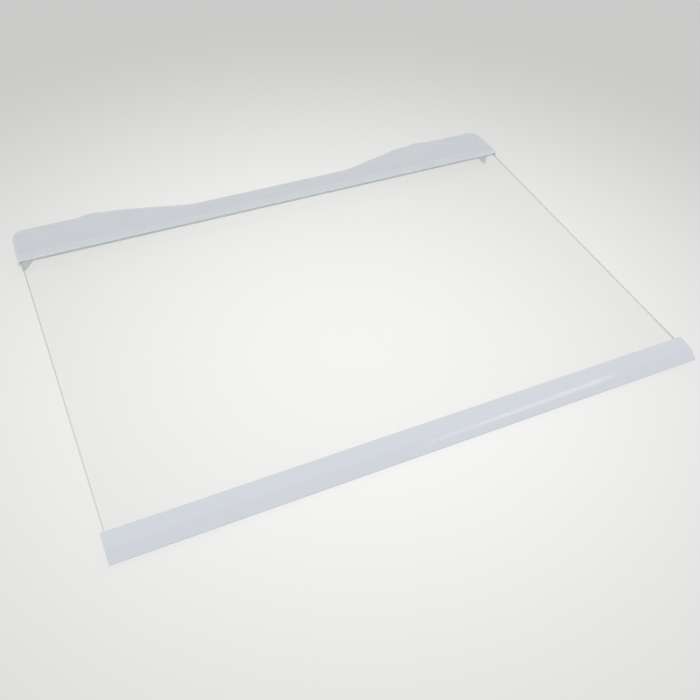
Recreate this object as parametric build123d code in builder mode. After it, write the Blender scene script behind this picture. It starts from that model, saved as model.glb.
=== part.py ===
from build123d import *
import os

# Refrigerator shelf: a toughened glass panel held between a front trim and a rear trim.
# Millimetres. X is the shelf's width, Y runs to the back of the cabinet and Z is up.
# The origin is under the middle of the shelf, level with the feet of the two rear lugs.

# Glass panel
glass_width = 475.0
glass_depth = 312.0
glass_thickness = 4.0
glass_corner_radius = 4.0
glass_arris = 0.5

# Grip of both trims on the panel
upper_lip_thickness = 3.2
lower_lip_thickness = 3.5
groove_play = 0.15
edge_play = 0.2
trim_overhang = 2.5
lead_in = 0.8

# Front trim, an extrusion whose hollow nose has a slanting face
nose_reach = 10.7
crease_setback = 1.5
deck_drop = 0.5
tip_rise = 3.9
face_foot_rise = 5.2
face_bulge = 0.2
tip_radius = 0.6
nose_wall = 1.8
chamber_radius = 0.6
front_upper_cover = 11.5
front_lower_cover = 9.0
front_lip_radius = 1.2

# Rear trim, a moulded plate with a recessed middle and ribs underneath
end_reach = 30.0
end_taper = 1.4
recess_depth = 16.4
ramp_inset = 93.0
ramp_run = 68.0
ramp_radius = 50.0
end_corner_radius = 12.0
nub_inset = 72.5
nub_base = 24.0
nub_top = 8.0
nub_height = 2.2
nub_radius = 12.0
rear_wall = 2.0
plate_thickness = 2.4
rear_upper_cover = 11.1
rear_lower_cover = 5.5
lip_taper_length = 6.0
lip_taper_drop = 1.5
plate_edge_radius = 1.4
rib_thickness = 1.6
rib_setback = 1.0
rib_count = 13

# Lug under each end of the rear trim
lug_drop = 12.5
lug_inset = 2.0
lug_top_width = 16.0
lug_foot_width = 3.0
lug_foot_radius = 1.2
fin_thickness = 2.0
fin_length = 14.0
fin_tail = 4.0

# Levels from the lugs' feet upwards
underside = lug_drop
panel_bottom = underside + lower_lip_thickness
panel_top = panel_bottom + glass_thickness
groove_top = panel_top + groove_play
trim_top = groove_top + upper_lip_thickness
trim_height = trim_top - underside

# Places from the nose's tip to the back of the nubs, which lie evenly about the origin
overall_depth = nose_reach + glass_depth + end_reach + nub_height
nose_tip = -overall_depth / 2
panel_front = nose_tip + nose_reach
panel_rear = panel_front + glass_depth
trim_length = glass_width + 2 * trim_overhang
trim_end = trim_length / 2

os.makedirs("parts", exist_ok=True)

# Glass panel with seamed edges, lying on the lower lips of both trims
with BuildPart() as glass_panel:
    with BuildSketch(Plane.XY.offset(panel_bottom)):
        with Locations((0, (panel_front + panel_rear) / 2)):
            RectangleRounded(glass_width, glass_depth, glass_corner_radius)
    extrude(amount=glass_thickness)
    panel_faces = glass_panel.faces().sort_by(Axis.Z)
    chamfer(panel_faces[0].edges() + panel_faces[-1].edges(), length=glass_arris)

# Front trim: the deck breaks at a crease into a slanting face, and the nose slopes back underneath
crease_reach = nose_reach - crease_setback
crease = (nose_tip + crease_reach, trim_top - deck_drop)
face_foot = (nose_tip, underside + face_foot_rise)
front_groove = panel_front - edge_play
front_lip_edge = panel_front + front_upper_cover
front_lower_edge = panel_front + front_lower_cover

with BuildPart() as front_trim:
    with BuildSketch(Plane.YZ) as front_section:
        with BuildLine():
            SagittaArc(crease, face_foot, -face_bulge)
            Polyline(
                face_foot,
                (nose_tip, underside + tip_rise),
                (nose_tip + crease_reach, underside),
                (front_lower_edge, underside),
                (front_lower_edge, panel_bottom - lead_in),
                (front_lower_edge - lead_in, panel_bottom),
                (front_groove, panel_bottom),
                (front_groove, groove_top),
                (front_lip_edge, groove_top),
                (front_lip_edge, trim_top),
                crease,
            )
        make_face()
        lip_corner = front_section.vertices().group_by(Axis.X)[-1].sort_by(Axis.Y)[-1]
        fillet(lip_corner, radius=front_lip_radius)
        fillet(front_section.vertices().group_by(Axis.X)[0], radius=tip_radius)

    # The nose's hollow lies one wall inside its outline and one wall in front of the glass groove
    with BuildSketch(Plane.YZ, mode=Mode.PRIVATE) as chamber:
        add(front_section.sketch_local)
        with Locations((front_groove, underside)):
            before_groove = (Align.MAX, Align.MIN)
            Rectangle(2 * nose_reach, trim_height, align=before_groove, mode=Mode.INTERSECT)
        offset(amount=-nose_wall, mode=Mode.REPLACE)
        fillet(chamber.vertices().group_by(Axis.X)[-1], radius=chamber_radius)
    extrude(front_section.sketch, amount=trim_length / 2, both=True)
    extrude(chamber.sketch, amount=trim_length / 2, both=True, mode=Mode.SUBTRACT)

# Rear trim: places along its width are measured inwards from its ends
lip_line = panel_rear - rear_upper_cover
end_back = panel_rear + end_reach
recess_back = end_back - recess_depth
nub_back = end_back + nub_height
nub_place = trim_end - nub_inset
ramp_out = trim_end - ramp_inset
ramp_in = ramp_out - ramp_run
rear_groove = panel_rear + edge_play
pocket_front = rear_groove + rear_wall
rear_lower_edge = panel_rear - rear_lower_cover
pocket_height = trim_height - plate_thickness
rib_pitch = trim_length / (rib_count + 1)
lug_side = trim_end - lug_inset

with BuildPart() as rear_trim:
    with BuildSketch(Plane.XY.offset(underside)) as rear_outline:
        with BuildLine():
            back_edge = FilletPolyline(
                (0, recess_back),
                (ramp_in, recess_back),
                (ramp_out, end_back),
                (nub_place - nub_base / 2, end_back),
                (nub_place - nub_top / 2, nub_back),
                (nub_place + nub_top / 2, nub_back),
                (nub_place + nub_base / 2, end_back),
                (trim_end - end_taper, end_back),
                (trim_end, lip_line),
                radius=[ramp_radius] * 2 + [nub_radius] * 4 + [end_corner_radius],
            )
            Line(back_edge @ 1, (0, lip_line))
            mirror(about=Plane.YZ)
        make_face()
    extrude(amount=trim_height)

    # The lip's top slopes down to a thin front edge, and the plate's other top edges are rounded
    with BuildSketch(Plane.YZ) as lip_slope:
        with BuildLine():
            Polyline(
                (lip_line, trim_top - lip_taper_drop),
                (lip_line + lip_taper_length, trim_top),
                (lip_line, trim_top),
                close=True,
            )
        make_face()
    extrude(amount=trim_length, both=True, mode=Mode.SUBTRACT)
    deck = rear_trim.faces().sort_by(Axis.Z)[-1]
    fillet(deck.edges().sort_by(Axis.Y)[1:], radius=plate_edge_radius)

    # Groove for the panel, closed at both ends, with a short lower lip and a lead-in on both lips
    with BuildSketch(Plane.YZ):
        with BuildLine():
            Polyline(
                (lip_line, groove_top + lead_in),
                (lip_line + lead_in, groove_top),
                (rear_groove, groove_top),
                (rear_groove, panel_bottom),
                (rear_lower_edge + lead_in, panel_bottom),
                (rear_lower_edge, panel_bottom - lead_in),
                (lip_line, panel_bottom - lead_in),
                close=True,
            )
        make_face()
    extrude(amount=glass_width / 2 + edge_play, both=True, mode=Mode.SUBTRACT)
    lip_setback = rear_lower_edge - lip_line
    with BuildSketch(Plane.XY.offset(underside)):
        with Locations((0, lip_line + lip_setback / 2)):
            Rectangle(trim_length, lip_setback)
    extrude(amount=lower_lip_thickness, mode=Mode.SUBTRACT)

    # The plate is hollow underneath, inside a wall all round, and thin ribs stop short of the wall's foot
    with BuildSketch(Plane.XY.offset(underside)) as hollow:
        add(rear_outline.sketch)
        offset(amount=-rear_wall, mode=Mode.REPLACE)
        with Locations((0, pocket_front)):
            front_strip = (Align.CENTER, Align.MAX)
            Rectangle(trim_length, pocket_front - lip_line, align=front_strip, mode=Mode.SUBTRACT)
    extrude(amount=rib_setback, mode=Mode.SUBTRACT)
    with BuildSketch(Plane.XY.offset(underside + rib_setback)):
        add(hollow.sketch)
        with Locations((0, pocket_front)):
            with GridLocations(rib_pitch, 0, rib_count, 1):
                Rectangle(rib_thickness, 2 * end_reach, mode=Mode.SUBTRACT)
    extrude(amount=pocket_height - rib_setback, mode=Mode.SUBTRACT)

    # Lug under one end, copied to the other: a plate in line with the groove's wall, slanting on its
    # inner side, and a fin behind it along its outer side
    with BuildSketch(Plane.XZ.offset(-rear_groove)) as lug:
        with BuildLine():
            Polyline(
                (lug_side, underside),
                (lug_side - lug_top_width, underside),
                (lug_side - lug_foot_width, 0),
                (lug_side, 0),
                close=True,
            )
        make_face()
        fillet(lug.vertices().group_by(Axis.Y)[0], radius=lug_foot_radius)
    extrude(amount=-rear_wall)
    with BuildSketch(Plane.YZ.offset(lug_side)):
        with BuildLine():
            Polyline(
                (pocket_front, underside),
                (pocket_front + fin_length, underside),
                (pocket_front + fin_length, underside - fin_tail),
                (pocket_front, lug_foot_radius),
                close=True,
            )
        make_face()
    extrude(amount=-fin_thickness)
    mirror(about=Plane.YZ)

glass_panel.part.label = "glass_panel"
front_trim.part.label = "front_trim"
rear_trim.part.label = "rear_trim"

export_step(glass_panel.part, "parts/glass_panel.step")
export_step(front_trim.part, "parts/front_trim.step")
export_step(rear_trim.part, "parts/rear_trim.step")
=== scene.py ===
import math
import bpy
import numpy as np
from mathutils import Matrix, Vector


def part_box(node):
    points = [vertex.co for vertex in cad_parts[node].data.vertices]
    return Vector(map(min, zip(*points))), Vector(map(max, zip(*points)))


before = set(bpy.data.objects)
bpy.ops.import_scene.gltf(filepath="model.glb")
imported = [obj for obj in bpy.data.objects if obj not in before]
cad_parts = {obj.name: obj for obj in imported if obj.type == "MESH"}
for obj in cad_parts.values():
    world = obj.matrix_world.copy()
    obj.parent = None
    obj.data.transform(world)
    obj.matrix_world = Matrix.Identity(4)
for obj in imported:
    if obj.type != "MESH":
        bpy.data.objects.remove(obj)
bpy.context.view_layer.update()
scene = bpy.context.scene
scene.view_settings.view_transform = "Standard"
print("shelf loaded:", ", ".join(sorted(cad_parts)))

glassLow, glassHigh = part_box("glass_panel")
frontLow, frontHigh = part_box("front_trim")
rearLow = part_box("rear_trim")[0]

white = (1.0, 1.0, 1.0, 1.0)
noiseMean = 0.5
mixFirst, mixSecond, mixResult = 6, 7, 2  # sockets of a Mix node that are colours


def screenColour(red, green, blue):
    # 8-bit screen values to the linear values that shader sockets take
    share = np.array([red, green, blue]) / 255
    linear = np.where(share <= 0.04045, share / 12.92, ((share + 0.055) / 1.055) ** 2.4)
    return (*linear.tolist(), 1.0)


def addNode(tree, kind, inputs=None, **settings):
    # one node, with its settings and with each input either a value or another node's output
    node = tree.nodes.new("ShaderNode" + kind)
    for name, value in settings.items():
        setattr(node, name, value)
    for name, value in (inputs or {}).items():
        if isinstance(value, bpy.types.NodeSocket):
            tree.links.new(value, node.inputs[name])
        else:
            node.inputs[name].default_value = value
    return node


def mathNode(tree, operation, *values):
    return addNode(tree, "Math", dict(enumerate(values)), operation=operation).outputs[0]


def spread(tree, value, low, high, toLow=0.0, toHigh=1.0, smooth=False):
    kind = "SMOOTHSTEP" if smooth else "LINEAR"
    inputs = {"Value": value, "From Min": low, "From Max": high, "To Min": toLow, "To Max": toHigh}
    return addNode(tree, "MapRange", inputs, interpolation_type=kind).outputs["Result"]


def noise(tree, place, scale, detail):
    return addNode(tree, "TexNoise", {"Vector": place, "Scale": scale, "Detail": detail}).outputs["Fac"]


def mixColours(tree, share, first, second):
    inputs = {"Factor": share, mixFirst: first, mixSecond: second}
    return addNode(tree, "Mix", inputs, data_type="RGBA").outputs[mixResult]


def mixShaders(tree, share, first, second):
    return addNode(tree, "MixShader", {0: share, 1: first.outputs[0], 2: second.outputs[0]})


def seenDirectly(tree):
    # rays from the camera, and those that come to it by way of gloss or glass
    path = addNode(tree, "LightPath").outputs
    seen = mathNode(tree, "MAXIMUM", path["Is Camera Ray"], path["Is Glossy Ray"])
    return mathNode(tree, "MAXIMUM", seen, path["Is Transmission Ray"])


def newGroup(name, values, results):
    # a group takes a place and some numbers, and gives numbers
    group = bpy.data.node_groups.new(name, "ShaderNodeTree")
    group.interface.new_socket("Vector", in_out="INPUT", socket_type="NodeSocketVector")
    for value in values:
        group.interface.new_socket(value, in_out="INPUT", socket_type="NodeSocketFloat")
    for result in results:
        group.interface.new_socket(result, in_out="OUTPUT", socket_type="NodeSocketFloat")
    start = group.nodes.new("NodeGroupInput")
    end = group.nodes.new("NodeGroupOutput")
    return group, start.outputs, end.inputs


def placeGroup(tree, group, inputs):
    return addNode(tree, "Group", inputs, node_tree=group).outputs


def newMaterial(name):
    material = bpy.data.materials.new(name)
    material.use_nodes = True
    return material, material.node_tree, material.node_tree.nodes["Principled BSDF"]


# Satin grain of plastic: fine grain for the height, broad clouds for the tone, and both for the gloss
satin = {"fineDetail": 3.0, "cloudDetail": 2.0}


def makeGrainGroup():
    group, given, out = newGroup(
        "satinGrain",
        ["Grain", "Clouds", "Tone Spread", "Roughness", "Roughness Spread"],
        ["Tone", "Roughness", "Height"],
    )
    fine = noise(group, given["Vector"], given["Grain"], satin["fineDetail"])
    clouds = noise(group, given["Vector"], given["Clouds"], satin["cloudDetail"])
    drift = mathNode(group, "SUBTRACT", clouds, noiseMean)
    tone = mathNode(group, "MULTIPLY_ADD", drift, given["Tone Spread"], 1.0)
    grit = mathNode(group, "ADD", drift, mathNode(group, "SUBTRACT", fine, noiseMean))
    gloss = mathNode(group, "MULTIPLY_ADD", grit, given["Roughness Spread"], given["Roughness"])
    group.links.new(tone, out["Tone"])
    group.links.new(gloss, out["Roughness"])
    group.links.new(fine, out["Height"])
    return group


# Hairline wipe marks: two fields of stretched noise, each at a slant, kept to a few patches
wipe = {
    "fields": [{"slant": 0.5, "across": 420.0}, {"slant": -0.9, "across": 560.0}],
    "along": 9.0,
    "detail": 1.0,
    "lineFrom": 0.66,
    "lineFull": 0.74,
    "patchScale": 22.0,
    "patchFrom": 0.45,
    "patchFull": 0.65,
}


def makeWipeGroup():
    group, given, out = newGroup("wipeMarks", ["Density"], ["Marks"])
    fields = []
    for field in wipe["fields"]:
        turned = addNode(group, "Mapping", {
            "Vector": given["Vector"],
            "Rotation": (0.0, 0.0, field["slant"]),
            "Scale": (wipe["along"], field["across"], field["across"]),
        }).outputs["Vector"]
        lines = noise(group, turned, 1.0, wipe["detail"])
        fields.append(spread(group, lines, wipe["lineFrom"], wipe["lineFull"]))
    patches = noise(group, given["Vector"], wipe["patchScale"], wipe["detail"])
    kept = spread(group, patches, wipe["patchFrom"], wipe["patchFull"], smooth=True)
    marks = mathNode(group, "MULTIPLY", mathNode(group, "MAXIMUM", *fields), kept)
    group.links.new(mathNode(group, "MULTIPLY", marks, given["Density"]), out["Marks"])
    return group


# Painted shade along the edge of a lip, just above the glass, where the gap under the lip leaves a dark
# line: it fades a little higher or further in, is fullest near the left end, and is patchy
seam = {
    "fullShare": 0.2,  # share of the reach over which the painted shade is full
    "thinAmount": 0.12,
    "patchScale": 60.0,
    "patchDetail": 3.0,
    "patchFrom": 0.25,
    "patchFull": 0.7,
    "patchLeast": 0.5,
}


def makeSeamShadeGroup():
    group, given, out = newGroup(
        "seamSoil",
        ["Edge", "Level", "Reach", "Full At", "Thin At", "Amount"],
        ["Soil"],
    )
    place = addNode(group, "SeparateXYZ", {"Vector": given["Vector"]}).outputs
    inward = mathNode(group, "ABSOLUTE", mathNode(group, "SUBTRACT", place["Y"], given["Edge"]))
    upward = mathNode(group, "ABSOLUTE", mathNode(group, "SUBTRACT", place["Z"], given["Level"]))
    away = mathNode(group, "DIVIDE", mathNode(group, "MAXIMUM", inward, upward), given["Reach"])
    near = spread(group, away, seam["fullShare"], 1.0, 1.0, 0.0, smooth=True)
    ends = (given["Full At"], given["Thin At"])
    along = spread(group, place["X"], *ends, 1.0, seam["thinAmount"], smooth=True)
    speckle = noise(group, given["Vector"], seam["patchScale"], seam["patchDetail"])
    patchy = spread(group, speckle, seam["patchFrom"], seam["patchFull"], seam["patchLeast"], 1.0)
    paintedShade = mathNode(group, "MULTIPLY", mathNode(group, "MULTIPLY", near, along), patchy)
    group.links.new(mathNode(group, "MULTIPLY", paintedShade, given["Amount"]), out["Soil"])
    return group


satinGrain, wipeMarks, seamSoil = makeGrainGroup(), makeWipeGroup(), makeSeamShadeGroup()
print("shader groups made")

# Pale cool grey plastic of both trims, a little milky, so that thin walls let some light through
plastic = {
    "front": {
        "colour": (214, 218, 225),
        "thin": (214, 218, 225),
        "stretch": (0.05, 1.0, 1.0),  # drawn out along the extrusion
        "grain": 1100.0,
        "clouds": 26.0,
        "tone": 0.03,
        "bump": 0.03,
        "roughness": 0.11,
        "vary": 0.04,
        "milk": 0.12,
        "depth": 0.003,
    },
    "rear": {
        # darker than the front's colour: painted shade for the weaker light over the rear trim
        "colour": (207, 211, 216),
        # paler colour for walls below the glass: painted light
        "thin": (229, 233, 237),
        "stretch": (1.0, 1.0, 1.0),
        "grain": 1400.0,
        "clouds": 24.0,
        "tone": 0.035,
        "bump": 0.06,
        "roughness": 0.34,
        "vary": 0.10,
        "milk": 0.75,
        "depth": 0.007,
    },
    "thinBelow": 0.0045,  # heights under the glass between which the walls turn to the paler painted-light colour
    "paintedLitNoneAbove": 0.003,
    "wipes": 0.5,
    "wipeRoughness": 0.12,
    "wipeHeight": -0.4,
    "bumpDistance": 0.0002,
    # colour of the painted shade along the lips' edges
    "paintedShade": (150, 152, 150),
    "shadeReach": 0.0016,
    "shadeAmount": 0.18,
    "shadeFullAt": -0.20,
    "shadeThinAt": -0.11,
}


def plasticMaterial(name, kind, lipEdge):
    material, tree, shader = newMaterial(name)
    place = addNode(tree, "TexCoord").outputs["Object"]
    stretched = addNode(tree, "Mapping", {"Vector": place, "Scale": kind["stretch"]}).outputs["Vector"]
    grain = placeGroup(tree, satinGrain, {
        "Vector": stretched, "Grain": kind["grain"], "Clouds": kind["clouds"], "Tone Spread": kind["tone"],
        "Roughness": kind["roughness"], "Roughness Spread": kind["vary"],
    })
    marks = placeGroup(tree, wipeMarks, {"Vector": place, "Density": plastic["wipes"]})["Marks"]
    paintedShade = placeGroup(tree, seamSoil, {
        "Vector": place, "Edge": lipEdge, "Level": glassHigh.z, "Reach": plastic["shadeReach"],
        "Full At": plastic["shadeFullAt"], "Thin At": plastic["shadeThinAt"], "Amount": plastic["shadeAmount"],
    })["Soil"]
    # walls below the glass are painted paler: painted light standing in for the light that shines through
    # the thin milky walls
    height = addNode(tree, "SeparateXYZ", {"Vector": place}).outputs["Z"]
    thinLevel, paintedLitNoneLevel = glassLow.z - plastic["thinBelow"], glassLow.z - plastic["paintedLitNoneAbove"]
    unpaintedShare = spread(tree, height, thinLevel, paintedLitNoneLevel, smooth=True)
    body = mixColours(tree, unpaintedShare, screenColour(*kind["thin"]), screenColour(*kind["colour"]))
    toned = addNode(tree, "VectorMath", {0: body, "Scale": grain["Tone"]}, operation="SCALE").outputs[0]
    # painted shade mixed into the colour along the lip's edge
    shaded = mixColours(tree, paintedShade, toned, screenColour(*plastic["paintedShade"]))
    tree.links.new(shaded, shader.inputs["Base Color"])
    worn = mathNode(tree, "MULTIPLY_ADD", marks, plastic["wipeRoughness"], grain["Roughness"])
    tree.links.new(worn, shader.inputs["Roughness"])
    scored = mathNode(tree, "MULTIPLY_ADD", marks, plastic["wipeHeight"], grain["Height"])
    relief = {"Height": scored, "Strength": kind["bump"], "Distance": plastic["bumpDistance"]}
    tree.links.new(addNode(tree, "Bump", relief).outputs["Normal"], shader.inputs["Normal"])
    shader.inputs["Subsurface Weight"].default_value = kind["milk"]
    shader.inputs["Subsurface Radius"].default_value = (1.0, 1.0, 1.0)  # the same for each colour
    shader.inputs["Subsurface Scale"].default_value = kind["depth"]
    return material


# Clear toughened float glass: faint green body, matt ground edges, a few smears and wipe marks
glass = {
    "ior": 1.52,
    "body": (0.62, 0.80, 0.50, 1.0),
    "density": 8.0,
    "lampTint": (0.965, 0.97, 0.96, 1.0),
    "clear": 0.012,
    "smear": 0.03,
    "smearScale": 14.0,
    "smearDetail": 3.0,
    "smearFrom": 0.5,
    "smearFull": 0.8,
    "wipes": 0.6,
    "wipeRoughness": 0.03,
    "mattEdge": (223, 225, 221),
    "edgeRoughness": 0.15,
    # grey painted into the ground bands: painted shade for the dark edge line
    "paintedEdgeShade": (0.58, 0.59, 0.58, 1.0),
    "edgeFrom": -0.0001,  # a ground band starts this far inside its limit
    "edgeFull": 0.0002,  # and is full this far outside it
    # front and rear give how much of the painted edge shade shows at each end of a side
    "leftEdge": {"outward": -1.0, "band": 0.0010, "front": 0.56, "rear": 1.0},
    "rightEdge": {"outward": 1.0, "band": 0.0008, "front": 0.32, "rear": 0.36},
}


def glassMaterial():
    material, tree, shader = newMaterial("clearFloatGlass")
    place = addNode(tree, "TexCoord").outputs["Object"]
    middle = (glassLow + glassHigh) / 2
    half = (glassHigh - glassLow) / 2
    centred = addNode(tree, "VectorMath", {0: place, 1: tuple(middle)}, operation="SUBTRACT").outputs[0]
    spot = addNode(tree, "SeparateXYZ", {"Vector": centred}).outputs
    # both side edges are ground in a narrow band; on its top and bottom faces grey is painted in as
    # painted shade for the dark edge line, more of it at the rear
    bands, edgeShades = [], []
    for edge in (glass["leftEdge"], glass["rightEdge"]):
        inside = mathNode(tree, "MULTIPLY_ADD", spot["X"], edge["outward"], edge["band"] - half.x)
        bands.append(spread(tree, inside, glass["edgeFrom"], glass["edgeFull"]))
        share = spread(tree, spot["Y"], -half.y, half.y, edge["front"], edge["rear"])
        edgeShades.append(mathNode(tree, "MULTIPLY", bands[-1], share))
    ground = mathNode(tree, "MAXIMUM", *bands)
    facing = addNode(tree, "NewGeometry").outputs["Normal"]
    flat = mathNode(tree, "ABSOLUTE", addNode(tree, "SeparateXYZ", {"Vector": facing}).outputs["Z"])
    edgeShade = mathNode(tree, "MULTIPLY", mathNode(tree, "MAXIMUM", *edgeShades), flat)
    tree.links.new(mixColours(tree, edgeShade, white, glass["paintedEdgeShade"]), shader.inputs["Base Color"])
    marks = placeGroup(tree, wipeMarks, {"Vector": place, "Density": glass["wipes"]})["Marks"]
    clouds = noise(tree, place, glass["smearScale"], glass["smearDetail"])
    smear = spread(
        tree, clouds, glass["smearFrom"], glass["smearFull"], glass["clear"], glass["smear"], smooth=True
    )
    wiped = mathNode(tree, "MULTIPLY_ADD", marks, glass["wipeRoughness"], smear)
    gloss = addNode(tree, "Mix", {"Factor": ground, "A": wiped, "B": glass["edgeRoughness"]})
    tree.links.new(gloss.outputs["Result"], shader.inputs["Roughness"])
    shader.inputs["IOR"].default_value = glass["ior"]
    shader.inputs["Transmission Weight"].default_value = 1.0
    body = addNode(tree, "VolumeAbsorption", {"Color": glass["body"], "Density": glass["density"]})
    # the upright ground faces are matt
    matt = addNode(tree, "BsdfDiffuse", {"Color": screenColour(*glass["mattEdge"])})
    edged = mixShaders(tree, mathNode(tree, "SUBTRACT", 1.0, flat), shader, matt)
    # lamps and bounced light pass straight through, so the floor under the glass stays bright
    path = addNode(tree, "LightPath").outputs
    lit = mathNode(tree, "MAXIMUM", path["Is Shadow Ray"], path["Is Diffuse Ray"])
    through = addNode(tree, "BsdfTransparent", {"Color": glass["lampTint"]})
    end = tree.nodes["Material Output"]
    tree.links.new(mixShaders(tree, lit, edged, through).outputs[0], end.inputs["Surface"])
    tree.links.new(body.outputs[0], end.inputs["Volume"])
    return material


def dress(node, material):
    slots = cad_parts[node].data.materials
    slots.clear()
    slots.append(material)


dress("glass_panel", glassMaterial())
dress("front_trim", plasticMaterial("extrudedPlastic", plastic["front"], frontHigh.y))
dress("rear_trim", plasticMaterial("mouldedPlastic", plastic["rear"], rearLow.y))
print("glass and plastic on the three pieces")

# Pale floor under the heel of the front trim and the toes of the lugs, so it falls a little to the rear
floorSettings = {
    "half": 6.0,
    "heel": 0.0092,  # behind the nose's tip
    "toe": 0.0113,  # behind the rear lip's edge
    "colour": (243, 243, 242),
    "roughness": 0.9,
    "specular": 0.1,
    "glow": (1.0, 1.0, 0.988, 1.0),
    "glowShare": 0.92,
    # a painted pool of light in the glow: its middle, its strength there and far off, and its reach
    "lightPoolMiddle": (-0.008, -0.048, 0.0),
    "lightPoolNear": 0.97,
    "lightPoolFar": 0.585,
    "lightPoolReach": 0.62,
}


def floorMaterial():
    material, tree, shader = newMaterial("paleFloor")
    shader.inputs["Base Color"].default_value = screenColour(*floorSettings["colour"])
    shader.inputs["Roughness"].default_value = floorSettings["roughness"]
    shader.inputs["Specular IOR Level"].default_value = floorSettings["specular"]
    # most of the floor's tone is its own glow, a painted pool of light brightest under the shelf and
    # falling off outward, and the rest takes the shadow
    place = addNode(tree, "TexCoord").outputs["Object"]
    apart = addNode(tree, "VectorMath", {0: place, 1: floorSettings["lightPoolMiddle"]}, operation="DISTANCE")
    near, far = floorSettings["lightPoolNear"], floorSettings["lightPoolFar"]
    level = spread(tree, apart.outputs["Value"], 0.0, floorSettings["lightPoolReach"], near, far, smooth=True)
    glow = addNode(tree, "Emission", {"Color": floorSettings["glow"], "Strength": level})
    share = mathNode(tree, "MULTIPLY", seenDirectly(tree), floorSettings["glowShare"])
    shown = mixShaders(tree, share, shader, glow)
    # from below the floor is clear
    under = addNode(tree, "NewGeometry").outputs["Backfacing"]
    mix = mixShaders(tree, under, shown, addNode(tree, "BsdfTransparent"))
    tree.links.new(mix.outputs[0], tree.nodes["Material Output"].inputs["Surface"])
    return material


def makeFloor():
    heel = frontLow.y + floorSettings["heel"]
    toe = rearLow.y + floorSettings["toe"]
    slope = (rearLow.z - frontLow.z) / (toe - heel)
    half = floorSettings["half"]
    corners = np.array([[-half, -half], [half, -half], [half, half], [-half, half]])
    height = frontLow.z + slope * (corners[:, 1] - heel)
    mesh = bpy.data.meshes.new("floor")
    mesh.from_pydata(np.column_stack([corners, height]).tolist(), [], [(0, 1, 2, 3)])
    mesh.materials.append(floorMaterial())
    floor = bpy.data.objects.new("floor", mesh)
    scene.collection.objects.link(floor)
    print(f"floor set, falling {math.degrees(math.atan(-slope)):.2f} degrees to the rear")


makeFloor()


def stand(name, data, place, right, up, back):
    # a lamp or camera at its place, turned so that it looks away from its back
    holder = bpy.data.objects.new(name, data)
    turn = Matrix((right, up, back)).transposed().to_4x4()
    holder.matrix_world = Matrix.Translation(place) @ turn
    scene.collection.objects.link(holder)
    return holder


# Even room light, a wide lamp overhead, and a strip lamp high on the right that draws the line of light
# along the nose
light = {
    "room": 0.77,
    "backdrop": 0.60,
    "lamps": [
        {
            "name": "overhead",
            "place": (-0.01, -0.10, 0.80),
            "aim": (-0.01, -0.10, 0.0),
            "along": (1.0, 0.0, 0.0),
            "size": (0.5, 0.5),
            "power": 1.5,
            "mirrored": False,
        },
        {
            "name": "strip",
            "place": (0.691, -0.612, 1.074),
            "aim": (0.075, -0.172, 0.021),
            "along": (0.934, 0.239, -0.246),
            "size": (0.42, 0.022),
            "power": 0.21,
            "mirrored": True,
        },
    ],
}


def makeLight():
    world = bpy.data.worlds.new("room")
    world.use_nodes = True
    tree = world.node_tree
    level = spread(tree, seenDirectly(tree), 0.0, 1.0, light["room"], light["backdrop"])
    background = tree.nodes["Background"]
    background.inputs["Color"].default_value = white
    tree.links.new(level, background.inputs["Strength"])
    scene.world = world
    for settings in light["lamps"]:
        lamp = bpy.data.lights.new(settings["name"], "AREA")
        lamp.shape = "RECTANGLE"
        lamp.size, lamp.size_y = settings["size"]
        lamp.energy = settings["power"]
        place = Vector(settings["place"])
        back = (place - Vector(settings["aim"])).normalized()
        up = back.cross(Vector(settings["along"])).normalized()
        holder = stand(settings["name"], lamp, place, up.cross(back), up, back)
        # no white square of the lamp overhead on the glass, and no sparks of a lamp in its ground edges
        holder.visible_glossy = settings["mirrored"]
        holder.visible_transmission = False


makeLight()
print("lights set")

# Camera where the photograph was taken from, with angles in degrees and the focal length in pixels
view = {
    "place": (-0.24278, -0.48422, 0.51359),
    "heading": 28.062,
    "pitch": 46.087,
    "roll": 4.444,
    "focal": 860.9,
    "frame": 700,
    "near": 0.01,
}


def makeCamera():
    heading, pitch, roll = (math.radians(view[angle]) for angle in ("heading", "pitch", "roll"))
    level = math.cos(pitch)
    forward = Vector((math.sin(heading) * level, math.cos(heading) * level, -math.sin(pitch)))
    levelRight = forward.cross(Vector((0, 0, 1))).normalized()
    levelUp = levelRight.cross(forward)
    right = levelRight * math.cos(roll) + levelUp * math.sin(roll)
    up = levelUp * math.cos(roll) - levelRight * math.sin(roll)
    lens = bpy.data.cameras.new("camera")
    lens.lens = view["focal"] * lens.sensor_width / view["frame"]
    lens.clip_start = view["near"]
    scene.camera = stand("camera", lens, view["place"], right, up, -forward)


makeCamera()
print("camera set")

print("shelf ready to finish")
